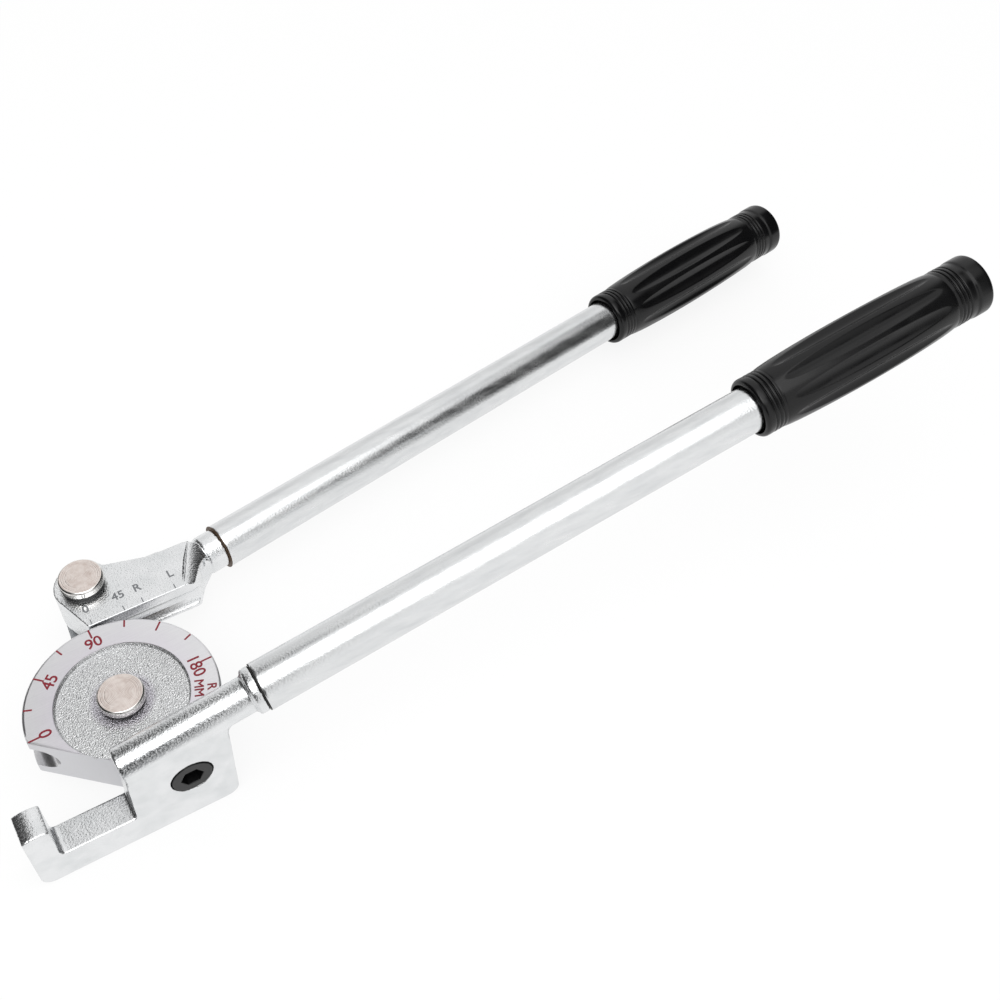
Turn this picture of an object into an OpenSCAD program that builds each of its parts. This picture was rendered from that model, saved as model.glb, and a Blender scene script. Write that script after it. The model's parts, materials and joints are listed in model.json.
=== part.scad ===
// Lever tube bender for 12 mm tube: a forged hook body that carries the dial wheel and the fixed handle,
// and a lever with a grooved shoe that walks round the wheel on a link under it.
// The origin is on the wheel's axis, level with the dial. +Z is up, +X runs towards the handles.

/* [Tube to bend] */
// Outside diameter of the tube that is bent
tube_d = 12; // [10:0.5:13]
// Bend radius at the tube's centre line
bend_r = 36; // [34:0.5:40]
// Radial room for the tube in the wheel and shoe grooves
groove_clear = 0.1; // [0.05:0.05:0.3]

/* [Forming wheel] */
// How far the wheel's rim reaches past the tube's centre line
rim_over = 2; // [1:0.25:3]
// Thickness of the wheel
wheel_t = 21; // [19:0.5:24]
// Radius of the grainy recess in the dial
recess_r = 26.5; // [22:0.5:28]
// Depth of the recess
recess_depth = 1.4; // [0.8:0.1:2]
// Slope of the recess wall, measured outwards
recess_slope = 0.9; // [0.3:0.1:1.5]
// Width of the machined ring round the centre pin's head
spot_margin = 2; // [1:0.25:3]
// Depth of the machined ring below the recess
spot_depth = 0.3; // [0.1:0.1:0.5]
// Angle of the dial's zero mark, seen from above
dial_zero = 181; // [178:0.5:184]
// Angle between the zero mark and the middle of the straight cut beside it
cut_turn = 46.5; // [40:0.5:50]
// Chamfer on the wheel's rims
rim_chamfer = 0.5; // [0.2:0.1:0.8]

/* [Hook body] */
// Thickness of the body's plate
body_t = 14.6; // [13.6:0.2:14.8]
// Diameter of the round rib on top of the plate, and of the neck in line with it
rib_d = 15; // [15:0.1:16]
// Distance from the wheel's axis to the middle of the body
body_offset = 34; // [33:0.5:36]
// Depth of the body's lower edge below the dial
body_drop = 33; // [33:0.5:38]
// Left edge of the body at the rib, behind the wheel's axis
body_left = 11.9; // [10:0.1:13]
// Right edge of the body at the neck, in front of the wheel's axis
body_right = 29; // [27:0.1:30]
// Lean of the body's two upright edges
body_lean = 2.2; // [1:0.1:3]
// Radius of the body's outer corners
body_corner = 5; // [3:0.5:6]
// Thickness of the hook's arm
arm_t = 13.2; // [11:0.1:14]
// Room under the tube in the hook
floor_room = 1; // [0.5:0.1:2]
// Room between the tube and the hook's lip
lip_room = 0.4; // [0.2:0.1:1]
// Width of the lip
lip_w = 10.3; // [8:0.1:12]
// Height of the lip's top above the dial
lip_rise = 2; // [0:0.1:4]
// Radius of the lip's crowned top
lip_crown = 14; // [10:0.5:20]
// Radius of the fillet between the lip and the arm
lip_fillet = 2; // [1:0.25:3]

/* [Wheel screw] */
// Thread diameter of the socket screw that holds the wheel
screw_d = 10; // [8:0.5:10]
// Diameter of the screw's head
screw_head_d = 16; // [14:0.5:17]
// Height of the screw's head
screw_head_h = 9.5; // [8:0.5:10]
// Width across flats of the screw's hexagon socket
screw_hex = 8; // [6:0.5:9]
// Depth of the hexagon socket
screw_hex_depth = 5; // [4:0.5:6]
// Screw length below its head
screw_len = 22; // [18:0.5:23]
// Place of the screw along the body
screw_x = 11.1; // [9:0.1:13]
// Depth of the screw below the dial
screw_drop = 7.4; // [7:0.1:9]
// Room round the screw's head
screw_room = 0.4; // [0.2:0.1:0.6]
// Diameter of the locating dowels
dowel_d = 5; // [4:0.5:5]
// Length of the locating dowels in the wheel
dowel_in_wheel = 9; // [6:0.5:10]
// Length of the locating dowels in the body
dowel_in_body = 4.5; // [3:0.5:5]
// Depth of the dowels below the dial
dowel_drop = 14; // [13:0.5:15]
// Places of the two dowels along the body
dowel_x = [-3.5, 22.5];

/* [Pins and link] */
// Diameter of both pivot pins
pin_d = 14; // [12:0.5:15]
// Diameter of the pins' heads
pin_head_d = 18.6; // [17:0.1:19.5]
// Height of the pins' heads
pin_head_h = 3.5; // [3:0.1:6]
// Chamfer round the top of the heads
pin_chamfer = 0.6; // [0.4:0.1:1.5]
// Running clearance of the pivots, on the radius
pivot_clear = 0.05; // [0.02:0.01:0.08]
// Clearance of pieces that stay put on one another, on the radius
seat_clear = 0.03; // [0.02:0.01:0.05]
// Free play between turning faces
turn_play = 0.1; // [0.05:0.05:0.2]
// Thickness of the dark washers under the heads
top_washer_t = 2.4; // [0.5:0.1:3]
// Diameter of the dark washers
top_washer_d = 17.4; // [16:0.1:18.4]
// Thickness of the plain washers
washer_t = 1.2; // [0.8:0.1:1.5]
// Diameter of the plain washers
washer_d = 24; // [21:0.5:25]
// Thickness of the link
link_t = 5.8; // [5:0.1:6]
// Width of the link
link_w = 24; // [22:0.5:26]
// Thickness of the retaining rings
ring_t = 1.1; // [0.8:0.1:1.2]
// Depth of the groove that holds a retaining ring
ring_depth = 0.8; // [0.6:0.1:1]
// Width of a retaining ring, measured outwards
ring_w = 3; // [2.5:0.25:3.5]
// Width of the gap in a retaining ring
ring_gap = 6; // [5:0.5:8]
// Length of pin below its retaining ring
pin_tail = 1.4; // [1:0.1:1.6]

/* [Lever head] */
// Thickness of the lever head
head_t = 18.5; // [17.5:0.5:19]
// Gap between the wheel's rim and the shoe
shoe_gap = 1; // [0.8:0.1:1.4]
// Length of the shoe
shoe_len = 45.5; // [42:0.5:48]
// Place of the lever pin along the shoe, from the shoe's zero corner
lever_pin_x = 5.3; // [4:0.1:6]
// Distance of the lever pin from the shoe's face
lever_pin_y = 21.5; // [20:0.1:23]
// Radius of the boss round the lever pin
boss_r = 12.2; // [11:0.1:13]
// Chamfer under the shoe's face
shoe_chamfer = 1.5; // [0.5:0.1:1.8]
// Distance of the head's back edge from the shoe's face, at its middle
head_back = 22.8; // [21.5:0.1:24]
// Radius of the scoop between the head's flat top and its neck
scoop_r = 10; // [8:0.5:14]
// Depth of the scoop at the shoe's face
scoop_depth = 0.8; // [0.4:0.1:1.5]
// Slope of the scoop down towards the neck
scoop_tilt = 13; // [8:0.5:15]
// Direction of the scoop, from the line of the shoe
scoop_turn = 50; // [45:1:60]
// Place of the scoop's middle along the shoe's face
scoop_x = 45.2; // [43:0.1:46]
// Chamfer where the neck stands clear of the head
neck_chamfer = 0.6; // [0.3:0.1:1]

/* [Handles] */
// Outside diameter of both handle tubes
handle_d = 20; // [19:0.5:21]
// Wall of the handle tubes
handle_wall = 2; // [1.5:0.25:2.5]
// Upward tilt of the fixed handle
handle_tilt = 8.6; // [7:0.1:10]
// Height of the fixed handle's axis above the dial, beside the wheel's axis
handle_rise = 12; // [11:0.5:14]
// Place of the fixed handle's collar along its axis
collar_at = 41.4; // [40:0.1:44]
// Length of the collar
collar_len = 4.2; // [3:0.1:6]
// Diameter of the collar
collar_d = 19; // [18:0.1:19.5]
// Diameter of the lever's neck
neck_d = 17.5; // [16.5:0.1:18.5]
// Turn of the lever handle from the line of the shoe
lever_turn = 9.6; // [7:0.1:12]
// Distance of the lever handle's axis from the wheel's axis
lever_offset = 47.8; // [46.5:0.1:49]
// Place along the lever's axis where its neck leaves the head
neck_at = 64.5; // [62:0.1:66]
// Length of the lever's neck
neck_len = 8.3; // [7:0.1:12]
// Width of the brazed seam between a neck and its tube
seam_w = 0.5; // [0.3:0.1:1]
// Length of the spigots inside the tubes
spigot_len = 35; // [25:1:45]
// Visible length of the fixed handle's tube
fixed_len = 228; // [180:0.1:300]
// Visible length of the lever's tube
lever_len = 232.8; // [180:0.1:300]

/* [Grips] */
// Length of the grips
grip_len = 121.4; // [115:0.1:135]
// Diameter of the grips over their front rings
grip_lip_d = 26.8; // [26:0.1:29]
// Largest diameter of the grips
grip_d = 31; // [30:0.2:33]
// Diameter at the grips' waist
grip_waist_d = 26.6; // [25.6:0.2:28]
// Diameter of the flange at the grips' end
grip_flange_d = 27.6; // [27:0.1:30]
// Length of the ringed stretch at each end of the grips
grip_ringed = 10.5; // [9:0.5:12]
// Length of the flange at the grips' end
grip_flange_len = 9; // [7:0.5:11]
// Rounding of the grips' two ends
grip_round = 1.8; // [1:0.1:2.5]
// Depth of the ring grooves
grip_ring_cut = 0.5; // [0.3:0.1:0.8]
// Thickness of the closed end of the grips
grip_end_t = 5; // [3:0.5:8]
// Number of long flutes round each grip
flute_count = 10; // [8:1:12]
// Radius of the flutes at their middle
flute_r = 6; // [5:0.5:7]
// Depth of the flutes where the grip is thickest
flute_depth = 1.3; // [0.5:0.1:1.5]
// Widening of the flutes towards their pointed ends
flute_flare = 0.7; // [0.3:0.1:0.9]

/* [Hidden] */
$fn = 96;
eps = 0.5;
big = 200;

// Wheel, measured from its axis and from the dial downwards
rim_r = bend_r + rim_over;
groove_r = tube_d / 2 + groove_clear;
groove_z = -wheel_t / 2;
cut_angle = dial_zero + cut_turn;
cut_dist = rim_r * cos(cut_turn);
body_back = -body_offset + body_t / 2;
body_front = -body_offset - body_t / 2;
spot_r = pin_head_d / 2 + spot_margin;
spot_z = -recess_depth - spot_depth;
pin_r = pin_d / 2;

// Hook, whose slot holds the tube below the zero mark
slot_left = -bend_r - tube_d / 2 - lip_room;
slot_floor = groove_z - tube_d / 2 - floor_room;
lip_left = slot_left - lip_w;
rib_left_z = handle_rise - body_left * tan(handle_tilt);
rib_right_z = handle_rise + body_right * tan(handle_tilt);
left_low = -body_left - (rib_left_z + body_drop) * tan(body_lean);
right_low = body_right - (rib_right_z + body_drop) * tan(body_lean);

// Stack of washers and link under the wheel
thrust_low = -wheel_t - washer_t;
link_top = thrust_low - turn_play;
link_low = link_top - link_t;
washer_top = link_low - turn_play;
ring_top = washer_top - washer_t - seat_clear;
pin_low = ring_top - ring_t - pin_tail;
ring_root = pin_r - ring_depth;

// Lever pin and shoe in the pose of a right-angle bend
shoe_y = rim_r + shoe_gap;
lever_pin_at = [lever_pin_x, shoe_y + lever_pin_y];
link_len = norm(lever_pin_at);
link_angle = atan2(lever_pin_at[1], lever_pin_at[0]);

// Lever handle's axis in the head's plan, and the seats of both tubes
lever_start = lever_offset * [-sin(lever_turn), cos(lever_turn)];
lever_dir = [cos(lever_turn), sin(lever_turn)];
tube_r = handle_d / 2;
bore_r = tube_r - handle_wall;
neck_r = neck_d / 2;
fixed_seam_at = collar_at + collar_len;
lever_seam_at = neck_at + neck_len;
grip_bore_len = grip_len - grip_end_t;

steel = [0.80, 0.81, 0.82];
satin = [0.76, 0.76, 0.79];
black = [0.06, 0.06, 0.065];
copper = [0.86, 0.78, 0.74];
brown = [0.30, 0.25, 0.22];

// Point on the lever's axis, in plan
function on_lever(s, side = 0) = lever_start + s * lever_dir + side * [-lever_dir[1], lever_dir[0]];

// Point where the straight left edge of the head, drawn from the zero corner, touches the boss
function boss_touch(corner, centre, r) =
    let (d = centre - corner, span = norm(d), turn = atan2(d[1], d[0]) + asin(r / span))
    corner + sqrt(span * span - r * r) * [cos(turn), sin(turn)];

// Places the fixed handle's axis along the children's +Z
module along_fixed(s = 0) {
    translate([0, -body_offset, handle_rise]) rotate([0, 90 - handle_tilt, 0]) translate([0, 0, s]) children();
}

// Places the lever handle's axis along the children's +Z
module along_lever(s = 0) {
    translate([lever_start[0], lever_start[1], groove_z])
        rotate([0, 0, lever_turn]) rotate([0, 90, 0]) translate([0, 0, s]) children();
}

// Upright slab with its outline in X and Z, from y_low to y_high
module slab(y_low, y_high) {
    translate([0, y_high, 0]) rotate([90, 0, 0]) linear_extrude(y_high - y_low) children();
}

// Corner piece: removed from a square corner it rounds it, added to an inner corner it fills it
module corner(r) {
    difference() {
        square(r);
        translate([r, r]) circle(r);
    }
}

module hollow_ring(outer_r, inner_r, low, high) {
    translate([0, 0, low]) difference() {
        cylinder(r = outer_r, h = high - low);
        translate([0, 0, -eps]) cylinder(r = inner_r, h = high - low + 2 * eps);
    }
}

// Hook body: plate with its hook, round rib, neck, collar and the spigot for the tube
module body_outline() {
    touch = body_corner * tan(45 - body_lean / 2);
    polygon([
        [-body_left, rib_left_z],
        [body_right, rib_right_z],
        [right_low + touch * sin(body_lean), touch * cos(body_lean) - body_drop],
        [right_low - touch, -body_drop],
        [left_low, -body_drop]]);
    translate([right_low - touch, body_corner - body_drop]) circle(body_corner);
}

module arm_outline() {
    lip_mid = lip_left + lip_w / 2;
    difference() {
        union() {
            translate([lip_left, -body_drop]) square([left_low - lip_left + body_t, slot_floor + body_drop]);
            translate([lip_left, -body_drop]) square([lip_w, body_drop + lip_rise]);
            translate([slot_left, slot_floor]) corner(lip_fillet);
        }
        translate([lip_left, -body_drop]) corner(body_corner);
        difference() {
            translate([lip_left - eps, lip_rise - lip_w / 2]) square([lip_w + 2 * eps, lip_w]);
            translate([lip_mid, lip_rise - lip_crown]) circle(lip_crown, $fn = 180);
        }
    }
}

module neck_web() {
    web_r = rib_d / 3;
    web_z = rib_right_z - rib_d / 2 / cos(handle_tilt);
    translate([body_right - eps, web_z + eps]) mirror([0, 1]) rotate(-handle_tilt) corner(web_r);
}

module collar_profile() {
    edge = collar_len / 3;
    square([collar_d / 2 - edge, collar_len]);
    translate([0, edge]) square([collar_d / 2, collar_len - edge]);
    translate([collar_d / 2 - edge, edge]) circle(edge);
}

module hook_body() {
    web_t = body_t * 0.6;
    rib_start = -body_left / cos(handle_tilt);
    color(steel) difference() {
        union() {
            slab(body_front, body_back) body_outline();
            slab(body_front, body_front + arm_t) arm_outline();
            slab(-body_offset - web_t / 2, -body_offset + web_t / 2) neck_web();
            along_fixed(rib_start) cylinder(d = rib_d, h = collar_at - rib_start + eps);
            along_fixed(collar_at) rotate_extrude() collar_profile();
            along_fixed(fixed_seam_at - eps) cylinder(r = bore_r - seat_clear, h = spigot_len + eps);
        }
        translate([screw_x, body_front, -screw_drop]) rotate([-90, 0, 0]) {
            translate([0, 0, -eps]) cylinder(d = screw_head_d + 2 * screw_room, h = screw_head_h + eps);
            cylinder(d = screw_d + screw_room, h = body_t + eps);
        }
        dowels_at() translate([0, 0, -dowel_in_body]) cylinder(d = dowel_d + 2 * seat_clear, h = dowel_in_wheel);
    }
}

// Places each dowel, with +Z into the wheel and zero on the joint face
module dowels_at() {
    for (x = dowel_x) translate([x, body_back, -dowel_drop]) rotate([-90, 0, 0]) children();
}

// Forming wheel: grooved for half a turn, cut straight beside the zero mark and flat against the body
module wheel_profile() {
    pin_bore = pin_r + seat_clear;
    polygon([
        [pin_bore, -wheel_t],
        [rim_r - rim_chamfer, -wheel_t],
        [rim_r, -wheel_t + rim_chamfer],
        [rim_r, -rim_chamfer],
        [rim_r - rim_chamfer, 0],
        [recess_r, 0],
        [recess_r - recess_slope, -recess_depth],
        [spot_r, -recess_depth],
        [spot_r, spot_z],
        [pin_bore, spot_z]]);
}

module tube_path() {
    intersection() {
        rotate_extrude() {
            translate([bend_r, groove_z]) circle(groove_r);
            translate([bend_r, groove_z - groove_r]) square([2 * rim_over, 2 * groove_r]);
        }
        translate([-big / 2, 0, -big / 2]) cube([big, big, big]);
    }
    for (side = [0, 1]) mirror([side, 0, 0]) {
        translate([bend_r, eps, groove_z]) rotate([90, 0, 0]) cylinder(r = groove_r, h = rim_r);
        translate([bend_r, eps - rim_r, groove_z - groove_r]) cube([2 * rim_over, rim_r, 2 * groove_r]);
    }
}

module forming_wheel() {
    color(satin) difference() {
        rotate_extrude() wheel_profile();
        tube_path();
        rotate([0, 0, cut_angle]) translate([cut_dist, -big / 2, -big / 2]) cube(big);
        translate([-big / 2, body_back - big, -big / 2]) cube(big);
        translate([screw_x, body_back - eps, -screw_drop]) rotate([-90, 0, 0])
            cylinder(d = screw_d + 2 * seat_clear, h = screw_len + screw_head_h - body_t + 2 * eps);
        dowels_at() translate([0, 0, -eps]) cylinder(d = dowel_d + 2 * seat_clear, h = dowel_in_wheel + 2 * eps);
    }
}

module wheel_screw() {
    color(black) translate([screw_x, body_front, -screw_drop]) rotate([-90, 0, 0]) difference() {
        union() {
            cylinder(d = screw_head_d, h = screw_head_h);
            cylinder(d = screw_d, h = screw_head_h + screw_len);
        }
        translate([0, 0, -eps]) cylinder(d = screw_hex / cos(30), h = screw_hex_depth + eps, $fn = 6);
    }
}

module wheel_dowels() {
    color(steel) dowels_at() translate([0, 0, -dowel_in_body]) cylinder(d = dowel_d, h = dowel_in_body + dowel_in_wheel);
}

// Pivot pin with a chamfered head that rests at head_low, and a groove for its retaining ring
module pivot_pin(head_low) {
    head_r = pin_head_d / 2;
    head_top = head_low + pin_head_h;
    color(copper) rotate_extrude() polygon([
        [0, pin_low],
        [pin_r - pin_chamfer / 2, pin_low],
        [pin_r, pin_low + pin_chamfer / 2],
        [pin_r, ring_top - ring_t - seat_clear],
        [ring_root, ring_top - ring_t - seat_clear],
        [ring_root, ring_top + seat_clear],
        [pin_r, ring_top + seat_clear],
        [pin_r, head_low],
        [head_r, head_low],
        [head_r, head_top - pin_chamfer],
        [head_r - pin_chamfer, head_top],
        [0, head_top]]);
}

module retaining_ring() {
    inner_r = ring_root + seat_clear;
    color(steel) difference() {
        hollow_ring(inner_r + ring_w, inner_r, ring_top - ring_t, ring_top);
        translate([-ring_gap / 2, 0, ring_top - ring_t - eps]) cube([ring_gap, big, ring_t + 2 * eps]);
    }
}

module top_washer(low) {
    color(black) hollow_ring(top_washer_d / 2, pin_r + seat_clear, low, low + top_washer_t);
}

module plain_washer(low) {
    color(steel) hollow_ring(washer_d / 2, pin_r + seat_clear, low, low + washer_t);
}

module at_lever_pin() {
    translate([lever_pin_at[0], lever_pin_at[1], 0]) children();
}

module centre_pin() { pivot_pin(spot_z + top_washer_t); }
module centre_top_washer() { top_washer(spot_z); }
module centre_thrust_washer() { plain_washer(thrust_low); }
module centre_washer() { plain_washer(washer_top - washer_t); }
module centre_retaining_ring() { retaining_ring(); }

module lever_pin() { at_lever_pin() pivot_pin(top_washer_t + turn_play); }
module lever_top_washer() { at_lever_pin() top_washer(turn_play); }
module lever_spacer() {
    at_lever_pin() color(steel) hollow_ring(washer_d / 2 - 1, pin_r + seat_clear, link_top, -head_t - turn_play);
}
module lever_washer() { at_lever_pin() plain_washer(link_low - washer_t); }
module lever_retaining_ring() { at_lever_pin() retaining_ring(); }

// Link: a bar with two round eyes, the first turning on the centre pin
module link_plate() {
    color(steel) translate([0, 0, link_low]) rotate([0, 0, link_angle]) difference() {
        union() {
            cylinder(d = link_w, h = link_t);
            translate([0, -link_w / 2, 0]) cube([link_len, link_w, link_t]);
            translate([link_len, 0, 0]) cylinder(d = link_w, h = link_t);
        }
        translate([0, 0, -eps]) cylinder(r = pin_r + pivot_clear, h = link_t + 2 * eps);
        translate([link_len, 0, -eps]) cylinder(r = pin_r + seat_clear, h = link_t + 2 * eps);
    }
}

// Lever head: boss, shoe with its tube groove, ramp, neck and the spigot for the tube
module head_outline() {
    zero_corner = [0, shoe_y];
    shoe_end = shoe_y + shoe_chamfer;
    translate(lever_pin_at) circle(boss_r);
    polygon([
        zero_corner,
        [shoe_len, shoe_y],
        [shoe_len + shoe_chamfer, shoe_end],
        [shoe_len + 4 * shoe_chamfer, shoe_end + 4.7 * shoe_chamfer],
        on_lever(neck_at + eps, -neck_r * 0.55),
        on_lever(neck_at + eps, neck_r * 0.35),
        [shoe_len * 0.72, shoe_y + head_back],
        lever_pin_at + boss_r * [cos(30), sin(30)],
        lever_pin_at,
        boss_touch(zero_corner, lever_pin_at, boss_r - turn_play)]);
}

// Scoop that starts shallow at the shoe's face and deepens towards the neck
module scoop_cut() {
    translate([scoop_x, shoe_y, scoop_r - scoop_depth]) rotate([0, 0, scoop_turn - 90])
        rotate([-90 - scoop_tilt, 0, 0]) translate([0, 0, -big / 2]) cylinder(r = scoop_r, h = big);
}

module shoe_cut() {
    translate([-eps, bend_r, groove_z]) rotate([0, 90, 0]) cylinder(r = groove_r, h = shoe_len + neck_r);
    translate([-big / 2, shoe_y, -head_t - eps]) rotate([-45, 0, 0])
        translate([0, -shoe_chamfer, -shoe_chamfer]) cube([big, 2 * shoe_chamfer, 2 * shoe_chamfer]);
}

module lever_head() {
    color(steel) difference() {
        union() {
            difference() {
                translate([0, 0, -head_t]) linear_extrude(head_t) head_outline();
                scoop_cut();
            }
            along_lever(neck_at - neck_d) cylinder(r = neck_r - neck_chamfer, h = neck_d + eps);
            along_lever(neck_at) cylinder(r1 = neck_r - neck_chamfer, r2 = neck_r, h = neck_chamfer);
            along_lever(neck_at + neck_chamfer) cylinder(r = neck_r, h = neck_len - neck_chamfer);
            along_lever(lever_seam_at - eps) cylinder(r = bore_r - seat_clear, h = spigot_len + eps);
        }
        shoe_cut();
        at_lever_pin() translate([0, 0, -head_t - eps]) cylinder(r = pin_r + pivot_clear, h = head_t + 2 * eps);
    }
}

// Brazed seam between a neck and its tube
module seam() { color(brown) hollow_ring(tube_r - turn_play * 3, bore_r, 0, seam_w); }
module fixed_seam() { along_fixed(fixed_seam_at) seam(); }
module lever_seam() { along_lever(lever_seam_at) seam(); }

// Handle tubes run from the seam into the grip, up to its closed end
module handle_tube(len) {
    color(steel) hollow_ring(tube_r, bore_r, seam_w, seam_w + len + grip_bore_len);
}
module fixed_tube() { along_fixed(fixed_seam_at) handle_tube(fixed_len); }
module lever_tube() { along_lever(lever_seam_at) handle_tube(lever_len); }

// Grip: rounded lip and three rings, fluted swelling, three rings at the waist and a rounded flange
function grip_rings(r, from, step) = [for (i = [0 : 2]) each [
    [r - grip_ring_cut, from + step * i],
    [r - grip_ring_cut, from + step * (i + 0.4)],
    [r, from + step * (i + 0.4)],
    [r, from + step * (i + 1)]]];

module grip_profile() {
    lip_r = grip_lip_d / 2;
    waist_r = grip_waist_d / 2;
    flange_r = grip_flange_d / 2;
    swell_to = grip_len - grip_flange_len - grip_ringed;
    steps = 12;
    ring_step = grip_ringed / 5;
    swell = [for (i = [0 : steps]) let (t = i / steps)
        [waist_r + (grip_d / 2 - waist_r) * pow(sin(180 * t), 0.62), grip_ringed + t * (swell_to - grip_ringed)]];
    polygon(concat(
        [[0, 0], [lip_r - grip_round, 0], [lip_r, grip_round], [lip_r, ring_step * 2]],
        grip_rings(lip_r, ring_step * 2, ring_step),
        swell,
        grip_rings(waist_r + grip_ring_cut / 2, swell_to + ring_step, ring_step),
        [[waist_r, swell_to + grip_ringed], [flange_r, swell_to + grip_ringed + grip_round],
            [flange_r, grip_len - 2 * grip_round], [flange_r - grip_round / 3, grip_len - grip_round / 2],
            [flange_r - grip_round, grip_len], [0, grip_len]]));
}

module flute_cut() {
    span = grip_len - grip_flange_len - 2 * grip_ringed - 2 * eps;
    front = span * 0.47;
    translate([grip_d / 2 + flute_r - flute_depth, 0, grip_ringed + eps]) {
        cylinder(r1 = flute_r + flute_flare, r2 = flute_r, h = front);
        translate([0, 0, front]) cylinder(r1 = flute_r, r2 = flute_r + flute_flare, h = span - front);
    }
}

module grip() {
    color(black) difference() {
        rotate_extrude() grip_profile();
        translate([0, 0, -eps]) cylinder(r = tube_r + seat_clear, h = grip_bore_len + eps + seat_clear);
        for (i = [0 : flute_count - 1]) rotate([0, 0, 360 / flute_count * (i + 0.45)]) flute_cut();
    }
}
module fixed_grip() { along_fixed(fixed_seam_at + seam_w + fixed_len) grip(); }
module lever_grip() { along_lever(lever_seam_at + seam_w + lever_len) grip(); }

hook_body();
forming_wheel();
wheel_screw();
wheel_dowels();
centre_pin();
centre_top_washer();
centre_thrust_washer();
centre_washer();
centre_retaining_ring();
link_plate();
lever_pin();
lever_top_washer();
lever_spacer();
lever_washer();
lever_retaining_ring();
lever_head();
lever_seam();
lever_tube();
lever_grip();
fixed_seam();
fixed_tube();
fixed_grip();
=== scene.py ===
import math
import bpy
import bmesh
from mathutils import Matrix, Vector
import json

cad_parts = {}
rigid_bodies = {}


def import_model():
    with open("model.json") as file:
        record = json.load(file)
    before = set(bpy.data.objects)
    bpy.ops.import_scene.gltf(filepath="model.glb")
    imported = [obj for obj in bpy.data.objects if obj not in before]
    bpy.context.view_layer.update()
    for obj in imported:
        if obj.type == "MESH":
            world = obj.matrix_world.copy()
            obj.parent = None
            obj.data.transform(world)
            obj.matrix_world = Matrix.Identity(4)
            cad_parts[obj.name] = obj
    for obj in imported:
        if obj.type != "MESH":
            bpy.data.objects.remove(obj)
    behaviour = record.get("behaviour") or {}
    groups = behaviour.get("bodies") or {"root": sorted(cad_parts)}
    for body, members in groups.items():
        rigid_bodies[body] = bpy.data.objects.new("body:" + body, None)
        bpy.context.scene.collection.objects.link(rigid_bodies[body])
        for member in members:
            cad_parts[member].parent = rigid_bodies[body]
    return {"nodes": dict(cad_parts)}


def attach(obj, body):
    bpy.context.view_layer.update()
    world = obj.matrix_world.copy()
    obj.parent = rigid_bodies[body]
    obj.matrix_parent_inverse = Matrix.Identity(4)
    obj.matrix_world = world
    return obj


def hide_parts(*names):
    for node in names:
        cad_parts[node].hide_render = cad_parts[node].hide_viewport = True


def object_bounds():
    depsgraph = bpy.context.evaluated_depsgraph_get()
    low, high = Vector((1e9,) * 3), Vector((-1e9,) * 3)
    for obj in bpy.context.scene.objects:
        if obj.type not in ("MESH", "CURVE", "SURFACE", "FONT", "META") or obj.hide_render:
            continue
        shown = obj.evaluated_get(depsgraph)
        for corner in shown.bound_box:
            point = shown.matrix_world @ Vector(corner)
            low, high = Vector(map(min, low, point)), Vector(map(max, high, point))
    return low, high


for leftover in list(bpy.data.objects):  # the start-up cube, lamp and camera
    bpy.data.objects.remove(leftover, do_unlink=True)

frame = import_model()
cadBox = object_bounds()
bpy.context.preferences.edit.use_global_undo = False  # no undo steps to keep while building
mm = 0.001
samePoint = 0.001  # points closer than this, in millimetres, are merged
print("frame loaded,", len(frame["nodes"]), "nodes")


def pickOnly(piece):
    bpy.ops.object.select_all(action="DESELECT")
    piece.select_set(True)
    bpy.context.view_layer.objects.active = piece


def editMode(piece, selectMode="VERT", action="DESELECT"):
    pickOnly(piece)
    bpy.ops.object.mode_set(mode="EDIT")
    bpy.ops.mesh.select_mode(type=selectMode)
    bpy.ops.mesh.select_all(action=action)


def objectMode():
    bpy.ops.object.mode_set(mode="OBJECT")


def selectPoints(piece, wanted):  # wanted says yes or no to a point, in edit mode
    mesh = bmesh.from_edit_mesh(piece.data)
    for point in mesh.verts:
        point.select_set(wanted(point))
    mesh.select_flush(True)
    bmesh.update_edit_mesh(piece.data)


def selectFaces(piece, wanted):
    mesh = bmesh.from_edit_mesh(piece.data)
    for face in mesh.faces:
        face.select_set(wanted(face))
    bmesh.update_edit_mesh(piece.data)


def applyModifiers(piece):
    pickOnly(piece)
    for modifierName in [modifier.name for modifier in piece.modifiers]:
        bpy.ops.object.modifier_apply(modifier=modifierName)


def settle(piece):  # puts the place into the mesh
    pickOnly(piece)
    bpy.ops.object.transform_apply(location=True, rotation=True, scale=True)


def smoothTo(piece, degrees):
    pickOnly(piece)
    bpy.ops.object.shade_smooth_by_angle(angle=math.radians(degrees))


def copyOfNode(nodeName, pieceName):
    piece = bpy.data.objects.new(pieceName, frame["nodes"][nodeName].data.copy())
    bpy.context.scene.collection.objects.link(piece)
    piece.data.materials.clear()
    editMode(piece, action="SELECT")
    bpy.ops.mesh.remove_doubles(threshold=samePoint * mm)
    objectMode()
    return piece


def dress(piece, bodyName, slotName, finish, *nodeNames):
    piece.data.materials.clear()
    piece.data.materials.append(finish)
    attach(piece, bodyName)
    if nodeNames:
        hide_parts(*nodeNames)
    print("piece", piece.name, len(piece.data.polygons), "faces")


# Finishes

noiseLow, noiseHigh = 0.3, 0.7  # most of a noise texture's values lie between these
colourA, colourB = 6, 7  # a Mix node's inputs when it mixes colours


def linearColour(hexColour):  # sRGB hex to the linear values that a socket takes
    parts = [int(hexColour[at:at + 2], 16) / 255 for at in (1, 3, 5)]
    return [part / 12.92 if part <= 0.04045 else ((part + 0.055) / 1.055) ** 2.4 for part in parts] + [1.0]


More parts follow.
